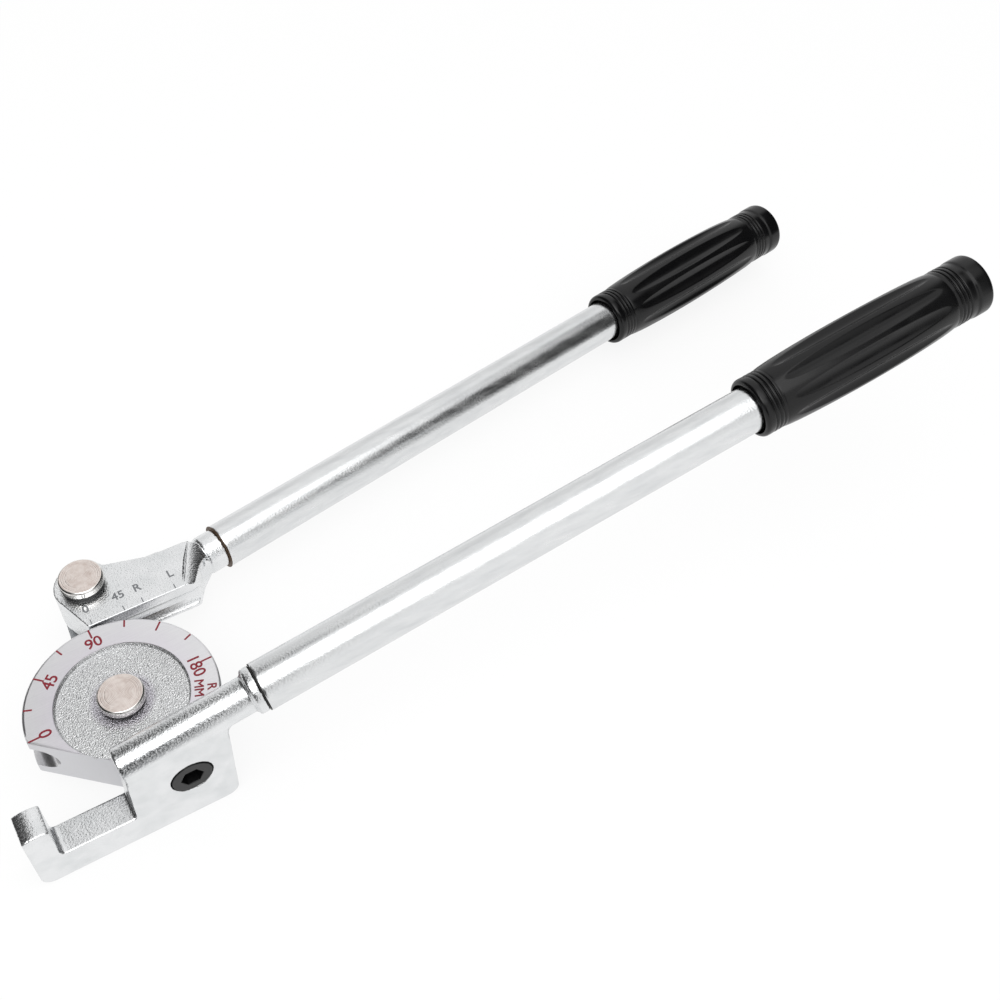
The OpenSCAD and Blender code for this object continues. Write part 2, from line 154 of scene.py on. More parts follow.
def addNode(tree, kind, settings=None, inputs=None):
    made = tree.nodes.new(kind)
    for key, value in (settings or {}).items():
        setattr(made, key, value)
    for key, value in (inputs or {}).items():
        if isinstance(value, bpy.types.Node):  # a node stands for the first of its outputs that is in use
            value = next(output for output in value.outputs if output.enabled)
        if isinstance(value, bpy.types.NodeSocket):
            tree.links.new(value, made.inputs[key])
        else:
            made.inputs[key].default_value = linearColour(value) if isinstance(value, str) else value
    return made


def newFinish(finishName):
    finish = bpy.data.materials.new(finishName)
    finish.use_nodes = True
    tree = finish.node_tree
    tree.nodes.clear()
    return finish, tree, addNode(tree, "ShaderNodeTexCoord")


def endFinish(finish, tone, rough, bump, metallic=1.0, gloss=0.5):
    tree = finish.node_tree
    shader = addNode(tree, "ShaderNodeBsdfPrincipled", inputs={
        "Base Color": tone, "Roughness": rough, "Normal": bump, "Metallic": metallic,
        "Specular IOR Level": gloss})
    addNode(tree, "ShaderNodeOutputMaterial", inputs={"Surface": shader})
    return finish


# Bright zinc on a forging: fine pebbles from the shot-blasted die face, ground smooth where it is flat
forgingLook = {"pale": "#f2f3f4", "dull": "#e6e8e9", "paleFrom": 0.62, "dullTo": 0.30, "cloud": 9.0,
               "pebble": 0.75, "relief": 0.13, "roughLow": 0.12, "roughHigh": 0.32,
               "groundFrom": 0.90, "groundFull": 0.985, "groundRough": 0.24, "groundRelief": 0.10}
# Painted shade in the shoe's groove: its colour and patches, the groove's place and size, and how far the
# shade reaches
shoeGrooveShade = {"paintedShade": "#6e6a66", "patch": (-2.0, 1.9), "y": 36.0, "z": -10.5, "radius": 6.5, "fade": 0.4,
              "top": -12.6, "bottom": -16.0, "least": 0.3, "fullTo": 30.0, "goneBy": 42.0}
# Painted reflection on the rib's front: its colour and patches, which way the faces point, and how far along
# it reaches
ribDarkReflection = {"dull": "#96989a", "patch": (-3.0, 2.3), "from": -0.50, "full": -0.64, "until": -0.90,
           "gone": -0.975, "fullTo": -8.0, "goneBy": 62.0, "lowest": 6.0}


def layOver(tree, surface, colour, pebbles, patch, limits):  # a colour in patches, within the limits
    amount = addNode(tree, "ShaderNodeMath", {"operation": "MULTIPLY_ADD", "use_clamp": True}, {
        0: pebbles, 1: patch[0], 2: patch[1]})
    for limit in limits:
        amount = addNode(tree, "ShaderNodeMath", {"operation": "MULTIPLY"}, {0: amount, 1: limit})
    return addNode(tree, "ShaderNodeMix", {"data_type": "RGBA"}, {
        "Factor": amount, colourA: surface, colourB: colour})


def zincForging(finishName, groundAxis, groundSign, groove=None, darkReflection=None):
    finish, tree, place = newFinish(finishName)
    look = forgingLook
    spot = addNode(tree, "ShaderNodeSeparateXYZ", inputs={"Vector": place.outputs["Object"]})
    facing = addNode(tree, "ShaderNodeSeparateXYZ", inputs={"Vector": place.outputs["Normal"]})
    pebbles = addNode(tree, "ShaderNodeTexNoise", inputs={
        "Vector": place.outputs["Object"], "Scale": 1 / (look["pebble"] * mm),
        "Detail": 2.0, "Roughness": 0.55})
    clouds = addNode(tree, "ShaderNodeTexNoise", inputs={
        "Vector": place.outputs["Object"], "Scale": 1 / (look["cloud"] * mm), "Detail": 3.0})
    ground = addNode(tree, "ShaderNodeMapRange", inputs={
        "Value": facing.outputs[groundAxis], "From Min": look["groundFrom"] * groundSign,
        "From Max": look["groundFull"] * groundSign})
    rough = addNode(tree, "ShaderNodeMapRange", inputs={
        "Value": pebbles, "From Min": noiseLow, "From Max": noiseHigh,
        "To Min": look["roughLow"], "To Max": look["roughHigh"]})
    finalRough = addNode(tree, "ShaderNodeMix", inputs={
        "Factor": ground, "A": rough, "B": look["groundRough"]})
    relief = addNode(tree, "ShaderNodeMapRange", inputs={
        "Value": ground, "To Min": 1.0, "To Max": look["groundRelief"]})
    height = addNode(tree, "ShaderNodeMath", {"operation": "MULTIPLY"}, {0: pebbles, 1: relief})
    bump = addNode(tree, "ShaderNodeBump", inputs={
        "Strength": 1.0, "Distance": look["relief"] * mm, "Height": height})
    surface = addNode(tree, "ShaderNodeValToRGB", inputs={"Fac": clouds})
    stops = ((look["dullTo"], look["dull"]), (look["paleFrom"], look["pale"]))
    for stop, (position, colour) in zip(surface.color_ramp.elements, stops):
        stop.position = position
        stop.color = linearColour(colour)
    if groove:  # painted shade: dark patches on the lower part of the shoe's groove, strongest just under its upper lip
        section = addNode(tree, "ShaderNodeMapping", inputs={
            "Vector": place.outputs["Object"], "Location": (0, -groove["y"] * mm, -groove["z"] * mm),
            "Scale": (0, 1, 1)})
        fromAxis = addNode(tree, "ShaderNodeVectorMath", {"operation": "LENGTH"}, {0: section})
        inside = addNode(tree, "ShaderNodeMapRange", inputs={
            "Value": fromAxis, "From Min": groove["radius"] * mm,
            "From Max": (groove["radius"] - groove["fade"]) * mm})
        low = addNode(tree, "ShaderNodeMapRange", inputs={
            "Value": spot.outputs["Z"], "From Min": groove["bottom"] * mm, "From Max": groove["top"] * mm,
            "To Min": groove["least"]})
        belowTop = addNode(tree, "ShaderNodeMath", {"operation": "LESS_THAN"}, {
            0: spot.outputs["Z"], 1: groove["top"] * mm})
        working = addNode(tree, "ShaderNodeMapRange", inputs={
            "Value": spot.outputs["X"], "From Min": groove["goneBy"] * mm,
            "From Max": groove["fullTo"] * mm})
        surface = layOver(tree, surface, groove["paintedShade"], pebbles, groove["patch"], (
            inside, low, belowTop, working))
    if darkReflection:  # painted reflection: a dull tone in patches on the rib's front stands for the dark room it mirrors, most of all at its free end
        rise = addNode(tree, "ShaderNodeMapRange", inputs={
            "Value": facing.outputs["Y"], "From Min": darkReflection["from"], "From Max": darkReflection["full"]})
        fall = addNode(tree, "ShaderNodeMapRange", inputs={
            "Value": facing.outputs["Y"], "From Min": darkReflection["gone"], "From Max": darkReflection["until"]})
        freeEnd = addNode(tree, "ShaderNodeMapRange", inputs={
            "Value": spot.outputs["X"], "From Min": darkReflection["goneBy"] * mm, "From Max": darkReflection["fullTo"] * mm})
        high = addNode(tree, "ShaderNodeMath", {"operation": "GREATER_THAN"}, {
            0: spot.outputs["Z"], 1: darkReflection["lowest"] * mm})
        surface = layOver(tree, surface, darkReflection["dull"], pebbles, darkReflection["patch"], (rise, fall, freeEnd, high))
    return endFinish(finish, surface, finalRough, bump)


# Steel wheel: rim linished in straight lines with a lilac passivate, floor of the dial left as cast
# The side tone is painted shade on the wheel's faces that do not point up
dialLook = {"rim": "#fcfcfc", "rimLine": "#dcdbdf", "rimRough": 0.28, "side": "#d6d6d9", "faceUp": 0.35,
            "line": 0.22, "lineLength": 14.0, "lineTurn": -32, "lineRelief": 0.016, "grainRough": 0.08,
            "bloom": "#e2d6e8", "bloomMost": 0.55, "bloomLeast": 0.05, "bloomReach": 9.0, "bloomDown": -2.0,
            "patch": 14.0, "floor": "#fdfdfd", "floorDull": "#c8cacc", "floorRough": 0.20, "pebble": 0.65,
            "floorRelief": 0.44, "recessRadius": 26.6, "recessTop": -0.3,
            # painted shade round the foot of the centre pin: its colour, where it is full, where it has
            # gone, and how strong
            "pinShade": "#a79fb0", "pinShadeFrom": 11.0, "pinShadeTo": 13.6, "pinShadeMost": 0.5}


def brushedDial(finishName):
    finish, tree, place = newFinish(finishName)
    look = dialLook
    spot = addNode(tree, "ShaderNodeSeparateXYZ", inputs={"Vector": place.outputs["Object"]})
    stretch = addNode(tree, "ShaderNodeMapping", inputs={
        "Vector": place.outputs["Object"], "Rotation": (0, 0, math.radians(look["lineTurn"])),
        "Scale": (1 / (look["lineLength"] * mm), 1 / (look["line"] * mm), 1 / (look["line"] * mm))})
    lines = addNode(tree, "ShaderNodeTexNoise", inputs={
        "Vector": stretch, "Scale": 1.0, "Detail": 3.0, "Roughness": 0.6})
    pebbles = addNode(tree, "ShaderNodeTexNoise", inputs={
        "Vector": place.outputs["Object"], "Scale": 1 / (look["pebble"] * mm),
        "Detail": 2.0, "Roughness": 0.6})
    flat = addNode(tree, "ShaderNodeCombineXYZ", inputs={"X": spot.outputs["X"], "Y": spot.outputs["Y"]})
    reach = addNode(tree, "ShaderNodeVectorMath", {"operation": "LENGTH"}, {0: flat})
    inDial = addNode(tree, "ShaderNodeMath", {"operation": "LESS_THAN"}, {
        0: reach, 1: look["recessRadius"] * mm})
    sunk = addNode(tree, "ShaderNodeMath", {"operation": "LESS_THAN"}, {
        0: spot.outputs["Z"], 1: look["recessTop"] * mm})
    facing = addNode(tree, "ShaderNodeSeparateXYZ", inputs={"Vector": place.outputs["Normal"]})
    faceUp = addNode(tree, "ShaderNodeMath", {"operation": "GREATER_THAN"}, {
        0: facing.outputs["Z"], 1: look["faceUp"]})
    sunkFace = addNode(tree, "ShaderNodeMath", {"operation": "MULTIPLY"}, {0: sunk, 1: faceUp})
    floor = addNode(tree, "ShaderNodeMath", {"operation": "MULTIPLY"}, {0: inDial, 1: sunkFace})
    brushed = addNode(tree, "ShaderNodeMix", {"data_type": "RGBA"}, {
        "Factor": lines, colourA: look["rimLine"], colourB: look["rim"]})
    patches = addNode(tree, "ShaderNodeTexNoise", inputs={
        "Vector": place.outputs["Object"], "Scale": 1 / (look["patch"] * mm), "Detail": 2.0})
    nearRecess = addNode(tree, "ShaderNodeMapRange", inputs={
        "Value": reach, "From Min": look["recessRadius"] * mm,
        "From Max": (look["recessRadius"] + look["bloomReach"]) * mm,
        "To Min": look["bloomMost"], "To Max": look["bloomLeast"]})
    onDialFace = addNode(tree, "ShaderNodeMath", {"operation": "GREATER_THAN"}, {
        0: spot.outputs["Z"], 1: look["bloomDown"] * mm})
    facePatches = addNode(tree, "ShaderNodeMath", {"operation": "MULTIPLY"}, {0: onDialFace, 1: patches})
    bloom = addNode(tree, "ShaderNodeMath", {"operation": "MULTIPLY"}, {0: nearRecess, 1: facePatches})
    faceTone = addNode(tree, "ShaderNodeMix", {"data_type": "RGBA"}, {
        "Factor": bloom, colourA: brushed, colourB: look["bloom"]})
    # Painted shade: faces that do not point up take the darker side tone
    rimTone = addNode(tree, "ShaderNodeMix", {"data_type": "RGBA"}, {
        "Factor": faceUp, colourA: look["side"], colourB: faceTone})
    floorTone = addNode(tree, "ShaderNodeMix", {"data_type": "RGBA"}, {
        "Factor": pebbles, colourA: look["floorDull"], colourB: look["floor"]})
    # Painted shade: the dial floor darkens to a lilac grey round the foot of the centre pin
    pinShadeRing = addNode(tree, "ShaderNodeMapRange", inputs={
        "Value": reach, "From Min": look["pinShadeTo"] * mm, "From Max": look["pinShadeFrom"] * mm,
        "To Max": look["pinShadeMost"]})
    shadedFloor = addNode(tree, "ShaderNodeMix", {"data_type": "RGBA"}, {
        "Factor": pinShadeRing, colourA: floorTone, colourB: look["pinShade"]})
    tone = addNode(tree, "ShaderNodeMix", {"data_type": "RGBA"}, {
        "Factor": floor, colourA: rimTone, colourB: shadedFloor})
    grain = addNode(tree, "ShaderNodeMix", inputs={"Factor": floor, "A": lines, "B": pebbles})
    depth = addNode(tree, "ShaderNodeMapRange", inputs={
        "Value": floor, "To Min": look["lineRelief"] * mm, "To Max": look["floorRelief"] * mm})
    bump = addNode(tree, "ShaderNodeBump", inputs={"Strength": 1.0, "Distance": depth, "Height": grain})
    middleRough = addNode(tree, "ShaderNodeMapRange", inputs={
        "Value": floor, "To Min": look["rimRough"], "To Max": look["floorRough"]})
    rough = addNode(tree, "ShaderNodeMath", {"operation": "MULTIPLY_ADD"}, {
        0: grain, 1: look["grainRough"], 2: middleRough})
    return endFinish(finish, tone, rough, bump)


# Zinc-plated drawn tube: satin, with fine specks and faint clouds drawn out along the tube
tubeLook = {"pale": "#f7f8f8", "dull": "#d6d8da", "speck": 0.80, "relief": 0.06, "cloud": 3.0, "drawn": 4.0,
            "roughLow": 0.17, "roughHigh": 0.28}


def zincTube(finishName, turn):
    finish, tree, place = newFinish(finishName)
    look = tubeLook
    along = addNode(tree, "ShaderNodeMapping", inputs={
        "Vector": place.outputs["Object"], "Rotation": turn, "Scale": (1 / look["drawn"], 1.0, 1.0)})
    specks = addNode(tree, "ShaderNodeTexNoise", inputs={
        "Vector": place.outputs["Object"], "Scale": 1 / (look["speck"] * mm),
        "Detail": 2.0, "Roughness": 0.6})
    clouds = addNode(tree, "ShaderNodeTexNoise", inputs={
        "Vector": along, "Scale": 1 / (look["cloud"] * mm), "Detail": 4.0})
    tone = addNode(tree, "ShaderNodeMix", {"data_type": "RGBA"}, {
        "Factor": clouds, colourA: look["dull"], colourB: look["pale"]})
    rough = addNode(tree, "ShaderNodeMapRange", inputs={
        "Value": clouds, "From Min": noiseLow, "From Max": noiseHigh,
        "To Min": look["roughLow"], "To Max": look["roughHigh"]})
    bump = addNode(tree, "ShaderNodeBump", inputs={
        "Strength": 1.0, "Distance": look["relief"] * mm, "Height": specks})
    return endFinish(finish, tone, rough, bump)


# Turned steel pin: bright sides, and a facing cut on the head that has taken a copper-pink tint
pinLook = {"top": "#fcf3ed", "topLine": "#b59a8d", "topRough": 0.34, "topFrom": 0.90, "topFull": 0.98,
           "side": "#e9e7e4", "sideRough": 0.18, "feed": 0.55, "waver": 0.6, "ringShare": 0.5, "cut": 0.02,
           "mottle": 2.5}


def turnedPin(finishName, centreX, centreY):
    finish, tree, place = newFinish(finishName)
    look = pinLook
    centred = addNode(tree, "ShaderNodeMapping", inputs={
        "Vector": place.outputs["Object"], "Location": (-centreX * mm, -centreY * mm, 0)})
    rings = addNode(tree, "ShaderNodeTexWave", {"wave_type": "RINGS", "rings_direction": "Z"}, {
        "Vector": centred, "Scale": math.pi / (10 * look["feed"] * mm),
        "Distortion": look["waver"], "Detail": 2.0, "Detail Scale": 0.6})
    mottle = addNode(tree, "ShaderNodeTexNoise", inputs={
        "Vector": place.outputs["Object"], "Scale": 1 / (look["mottle"] * mm), "Detail": 4.0})
    facing = addNode(tree, "ShaderNodeSeparateXYZ", inputs={"Vector": place.outputs["Normal"]})
    onTop = addNode(tree, "ShaderNodeMapRange", inputs={
        "Value": facing.outputs["Z"], "From Min": look["topFrom"], "From Max": look["topFull"]})
    cutLines = addNode(tree, "ShaderNodeMath", {"operation": "MULTIPLY_ADD", "use_clamp": True}, {
        0: rings.outputs["Fac"], 1: look["ringShare"], 2: mottle})
    lineTone = addNode(tree, "ShaderNodeMix", {"data_type": "RGBA"}, {
        "Factor": cutLines, colourA: look["topLine"], colourB: look["top"]})
    tone = addNode(tree, "ShaderNodeMix", {"data_type": "RGBA"}, {
        "Factor": onTop, colourA: look["side"], colourB: lineTone})
    rough = addNode(tree, "ShaderNodeMapRange", inputs={
        "Value": onTop, "To Min": look["sideRough"], "To Max": look["topRough"]})
    bump = addNode(tree, "ShaderNodeBump", inputs={
        "Strength": 0.6, "Distance": look["cut"] * mm, "Height": rings.outputs["Fac"]})
    return endFinish(finish, tone, rough, bump)


# Plain finishes: two colours, how metallic, how rough, and the size of the mottling in millimetres
plainLooks = {
    "zincPlatedSheetSteel": ("#dcdee0", "#b7babd", 1.0, 0.34, 4.0),
    "plainTurnedSteel": ("#cfd0d2", "#a9abad", 1.0, 0.32, 1.5),
    # dark: under the pin heads it stands for the shade gap there (painted shade), and it is the black of the
    # retaining rings
    "phosphatedSteelAndShadeGap": ("#232325", "#111112", 0.0, 0.42, 1.2),
    "blackOxideScrew": ("#0e0e0f", "#070708", 0.0, 0.36, 0.9),
    "brazedJointTarnish": ("#6b5238", "#2b2019", 0.6, 0.45, 1.5),
    "oiledJointGap": ("#2a2826", "#141312", 0.3, 0.45, 1.5),
    "redDialInk": ("#8e0d26", "#6c071a", 0.0, 0.5, 0.6),
    "greyEtchedMark": ("#7b7d80", "#636568", 0.0, 0.6, 0.6)}
roughBelow, roughAbove = 0.05, 0.07  # how far the roughness goes each way from its middle
plainRelief = 0.01


def plainFinish(finishName):
    finish, tree, place = newFinish(finishName)
    colour, second, metallic, middleRough, mottleSize = plainLooks[finishName]
    mottle = addNode(tree, "ShaderNodeTexNoise", inputs={
        "Vector": place.outputs["Object"], "Scale": 1 / (mottleSize * mm), "Detail": 4.0, "Roughness": 0.6})
    tone = addNode(tree, "ShaderNodeMix", {"data_type": "RGBA"}, {
        "Factor": mottle, colourA: second, colourB: colour})
    rough = addNode(tree, "ShaderNodeMapRange", inputs={
        "Value": mottle, "From Min": noiseLow, "From Max": noiseHigh,
        "To Min": middleRough - roughBelow, "To Max": middleRough + roughAbove})
    bump = addNode(tree, "ShaderNodeBump", inputs={
        "Strength": 0.5, "Distance": plainRelief * mm, "Height": mottle})
    return endFinish(finish, tone, rough, bump, metallic)


# Moulded PVC grip: glossy black that is softly uneven, with a trace of mould grain
gripLook = {"black": "#050506", "worn": "#0b0b0c", "rough": 0.22, "grain": 0.35, "grainRelief": 0.008,
            "unevenness": 14.0, "gloss": 0.36}


def mouldedGrip(finishName):
    finish, tree, place = newFinish(finishName)
    look = gripLook
    grain = addNode(tree, "ShaderNodeTexNoise", inputs={
        "Vector": place.outputs["Object"], "Scale": 1 / (look["grain"] * mm), "Detail": 2.0})
    uneven = addNode(tree, "ShaderNodeTexNoise", inputs={
        "Vector": place.outputs["Object"], "Scale": 1 / (look["unevenness"] * mm), "Detail": 3.0})
    tone = addNode(tree, "ShaderNodeMix", {"data_type": "RGBA"}, {
        "Factor": uneven, colourA: look["black"], colourB: look["worn"]})
    rough = addNode(tree, "ShaderNodeMapRange", inputs={
        "Value": uneven, "From Min": noiseLow, "From Max": noiseHigh,
        "To Min": look["rough"] - roughBelow, "To Max": look["rough"] + roughAbove})
    bump = addNode(tree, "ShaderNodeBump", inputs={
        "Strength": 0.4, "Distance": look["grainRelief"] * mm, "Height": grain})
    return endFinish(finish, tone, rough, bump, metallic=0.0, gloss=look["gloss"])


bodyZinc = zincForging("zincPlatedForging", "Y", -1, darkReflection=ribDarkReflection)
headZinc = zincForging("zincPlatedLeverForging", "X", 1, groove=shoeGrooveShade)
dialSteel = brushedDial("linishedSteelDial")
plain = {finishName: plainFinish(finishName) for finishName in plainLooks}
gripBlack = mouldedGrip("mouldedBlackPvc")
print("finishes made")


# Handles: where each axis starts, how it is turned, and where along it the seam and the grip start
handles = {
    "fixed": {"start": (0, -34, 12), "turn": (0, 81.4, 0), "seam": 45.6, "grip": 274.1, "body": "frame",
              "seamFinish": plain["oiledJointGap"], "seamRadius": 9.9},
    "lever": {"start": (-7.97, 47.13, -10.5), "turn": (0, 90, 9.6), "seam": 72.8, "grip": 306.1,
              "body": "lever", "seamFinish": plain["brazedJointTarnish"], "seamRadius": 10.2}}


# Forgings: the CAD shape with its edges softened, as a die and a tumbler leave them
softened = {
    "hookBody": {"node": "hook_body", "voxel": 0.45, "passes": 8, "body": "frame", "finish": bodyZinc},
    "leverHead": {"node": "lever_head", "voxel": 0.40, "passes": 4, "body": "lever", "finish": headZinc}}
headShoulder = {"crease": ((41.5, 39.9), (51.3, 60.3)), "firstSlope": 0.12, "radius": 9.5, "deepest": -8.0,
                "back": 60.2, "neckAt": 64.0, "neckRadius": 8.6, "upright": 0.3, "merge": 0.05}


def rollShoulder(piece):  # the top falls away in a curve from the crease to the head's right side
    shoulder = headShoulder
    (x0, y0), (x1, y1) = shoulder["crease"]
    length = math.hypot(x1 - x0, y1 - y0)
    startX, startY, startZ = handles["lever"]["start"]
    turn = math.radians(handles["lever"]["turn"][2])
    axisX, axisY = math.cos(turn), math.sin(turn)
    editMode(piece)
    mesh = bmesh.from_edit_mesh(piece.data)
    for point in mesh.verts:
        x, y, z = [part / mm for part in point.co]
        across = ((x - x0) * (y1 - y0) - (y - y0) * (x1 - x0)) / length
        along = (x - startX) * axisX + (y - startY) * axisY
        if across < 0 or along > shoulder["neckAt"] or z < shoulder["deepest"] or y > shoulder["back"]:
            continue
        aside = (y - startY) * axisX - (x - startX) * axisY
        onNeck = math.hypot(aside, z - startZ) < shoulder["neckRadius"]
        level = -shoulder["firstSlope"] * across - across * across / (2 * shoulder["radius"])
        if (z < level and point.normal.z > shoulder["upright"]) or (z > level and not onNeck):
            point.co.z = level * mm
            point.select_set(True)
    mesh.select_flush(True)
    bmesh.update_edit_mesh(piece.data)
    bpy.ops.mesh.remove_doubles(threshold=shoulder["merge"] * mm)
    bpy.ops.mesh.vertices_smooth(factor=0.5, repeat=2)
    objectMode()


for pieceName, part in softened.items():
    piece = copyOfNode(part["node"], pieceName)
    cells = piece.modifiers.new("cells", "REMESH")
    cells.mode = "VOXEL"
    cells.voxel_size = part["voxel"] * mm
    cells.use_smooth_shade = True
    soften = piece.modifiers.new("soften", "SMOOTH")
    soften.factor = 0.5
    soften.iterations = part["passes"]
    applyModifiers(piece)
    if pieceName == "leverHead":
        rollShoulder(piece)
    dress(piece, part["body"], "plated_forging", part["finish"], part["node"])
print("forgings made")


# Small turned and pressed parts: the CAD shape with a fine bevel on its edges
bevelled = {
    "formingWheel": {"node": "forming_wheel", "bevel": 0.45, "slot": "dial_steel", "body": "frame",
                     "finish": dialSteel},
    "wheelScrew": {"node": "wheel_screw", "bevel": 0.30, "slot": "black_screw", "body": "frame",
                   "finish": plain["blackOxideScrew"]},
    "centrePin": {"node": "centre_pin", "bevel": 0.25, "slot": "pin_steel", "body": "frame",
                  "finish": turnedPin("turnedCentrePin", 0, 0)},
    "leverPin": {"node": "lever_pin", "bevel": 0.25, "slot": "pin_steel", "body": "link",
                 "finish": turnedPin("turnedLeverPin", 5.3, 60.5)},
    "linkPlate": {"node": "link_plate", "bevel": 0.6, "slot": "plated_link", "body": "link",
                  "finish": plain["zincPlatedSheetSteel"]}}
edgeFinish = {"flatWithin": 1.0, "bevelOver": 35, "segments": 3, "smoothWithin": 40}
wheelEdges = {"cutNormal": 227.5, "cutDepth": 2.0, "cutRound": 1.8, "rimRadius": 37.5, "rimRound": 0.6,
              "rimClear": 3.0, "sharperThan": 20, "level": 0.02, "close": 0.05}
pinRings = {"from": 0.5, "pitch": 0.8, "count": 3, "groove": 0.12, "depth": 0.025, "upright": 0.99,
            "level": 0.02}


def easeWheel(piece):  # rounds the dial's outer edge and the upper edge of the straight cut, in edit mode
    size = wheelEdges
    level, close = size["level"] * mm, size["close"] * mm
    outX, outY = math.cos(math.radians(size["cutNormal"])), math.sin(math.radians(size["cutNormal"]))

    def reach(point):  # how far out it lies towards the cut
        return point.co.x * outX + point.co.y * outY

    bpy.ops.mesh.select_mode(type="EDGE")
    bpy.ops.mesh.select_all(action="DESELECT")
    mesh = bmesh.from_edit_mesh(piece.data)
    farthest = max(reach(point) for point in mesh.verts)
    for edge in mesh.edges:  # the dial's outer edge, short of the cut
        edge.select_set(edge.calc_face_angle(0) > math.radians(size["sharperThan"]) and all(
            abs(point.co.z) < level and reach(point) < farthest - size["rimClear"] * mm
            and abs(math.hypot(point.co.x, point.co.y) - size["rimRadius"] * mm) < close
            for point in edge.verts))
    bmesh.update_edit_mesh(piece.data)
    bpy.ops.mesh.bevel(offset=size["rimRound"] * mm, segments=3)
    bpy.ops.mesh.select_all(action="DESELECT")
    mesh = bmesh.from_edit_mesh(piece.data)
    for edge in mesh.edges:  # the cut's level edges near the top
        first, second = edge.verts
        edge.select_set(abs(first.co.z - second.co.z) < close and all(
            abs(reach(point) - farthest) < level and point.co.z > -size["cutDepth"] * mm
            for point in edge.verts))
    bmesh.update_edit_mesh(piece.data)
    bpy.ops.mesh.bevel(offset=size["cutRound"] * mm, segments=4)


def turnHead(piece):  # turning rings on a pin head's face
    rings = pinRings
    top = max(corner.co.z for corner in piece.data.vertices) - rings["level"] * mm
    editMode(piece, "FACE")
    selectFaces(piece, lambda face: face.normal.z > rings["upright"] and face.calc_center_median().z > top)
    bpy.ops.mesh.inset(thickness=rings["from"] * mm)
    for ring in range(rings["count"]):
        for step in (-1, 0, 1):  # down into the groove, along it and up again
            bpy.ops.mesh.inset(thickness=rings["groove"] * mm, depth=rings["depth"] * mm * step)
        bpy.ops.mesh.inset(thickness=(rings["pitch"] - 3 * rings["groove"]) * mm)
    objectMode()


for pieceName, part in bevelled.items():
    piece = copyOfNode(part["node"], pieceName)
    editMode(piece, action="SELECT")
    bpy.ops.mesh.dissolve_limited(angle_limit=math.radians(edgeFinish["flatWithin"]))
    if pieceName == "formingWheel":
        easeWheel(piece)
    objectMode()
    edges = piece.modifiers.new("edges", "BEVEL")
    edges.width = part["bevel"] * mm
    edges.segments = edgeFinish["segments"]
    edges.limit_method = "ANGLE"
    edges.angle_limit = math.radians(edgeFinish["bevelOver"])
    applyModifiers(piece)
    if pieceName.endswith("Pin"):
        turnHead(piece)
    smoothTo(piece, edgeFinish["smoothWithin"])
    flatness = piece.modifiers.new("flatness", "WEIGHTED_NORMAL")
    flatness.keep_sharp = True
    applyModifiers(piece)
    dress(piece, part["body"], part["slot"], part["finish"], part["node"])
print("turned and pressed parts made")


# Tubes and seams, turned on the handles' axes
tubeSizes = {"radius": 10.0, "bore": 8.0, "edge": 0.35, "inGrip": 116.4, "sides": 128, "smoothWithin": 35,
             "seamWidth": 0.5, "seamInset": 0.3, "seamRound": 0.15, "merge": 0.002}


def placeAlong(piece, handle, distance):  # the piece's +Z goes along the handle
    piece.rotation_euler = [math.radians(degrees) for degrees in handle["turn"]]
    direction = piece.rotation_euler.to_matrix().col[2]
    piece.location = [(at + distance * slope) * mm for at, slope in zip(handle["start"], direction)]
    settle(piece)


def turnedRing(pieceName, outline):  # outline holds radius and height, round the wall's section
    firstRadius, firstHeight = outline[0]
    bpy.ops.object.select_all(action="DESELECT")
    bpy.ops.mesh.primitive_circle_add(vertices=tubeSizes["sides"], radius=firstRadius * mm)
    piece = bpy.context.object
    piece.name = pieceName
    editMode(piece, action="SELECT")
    bpy.ops.transform.translate(value=(0, 0, firstHeight * mm))
    for (lastRadius, lastHeight), (radius, height) in zip(outline, outline[1:] + outline[:1]):
        bpy.ops.mesh.extrude_edges_move(TRANSFORM_OT_translate={"value": (0, 0, (height - lastHeight) * mm)})
        grow = radius / lastRadius
        bpy.ops.transform.resize(value=(grow, grow, 1), center_override=(0, 0, 0))
    bpy.ops.mesh.select_all(action="SELECT")
    bpy.ops.mesh.remove_doubles(threshold=tubeSizes["merge"] * mm)  # the last loop closes on the first
    bpy.ops.mesh.normals_make_consistent(inside=False)
    objectMode()
    smoothTo(piece, tubeSizes["smoothWithin"])
    return piece


for handleName, handle in handles.items():
    wall, bore, edge, width = [tubeSizes[size] for size in ("radius", "bore", "edge", "seamWidth")]
    tubeLength = handle["grip"] + tubeSizes["inGrip"] - handle["seam"] - width
    tube = turnedRing(handleName + "Tube", [
        (bore, 0), (wall - edge, 0), (wall - edge * 0.3, edge * 0.3), (wall, edge), (wall, edge * 3),
        (wall, tubeLength - edge), (wall, tubeLength), (bore, tubeLength)])
    placeAlong(tube, handle, handle["seam"] + width)
    tubeFinish = zincTube("zincPlated" + handleName.capitalize() + "Tube",
                          [math.radians(degrees) for degrees in (0, 0, -handle["turn"][2])])
    dress(tube, handle["body"], "plated_tube", tubeFinish, handleName + "_tube")
    bead, root = handle["seamRadius"], bore + tubeSizes["seamInset"]
    shoulder = bead - tubeSizes["seamRound"]
    seam = turnedRing(handleName + "Seam", [
        (root, 0), (shoulder, 0), (bead, width * 0.3),
        (bead, width * 0.7), (shoulder, width), (root, width)])
    placeAlong(seam, handle, handle["seam"])
    dress(seam, handle["body"], "brazed_seam", handle["seamFinish"], handleName + "_seam")
print("tubes and seams made")


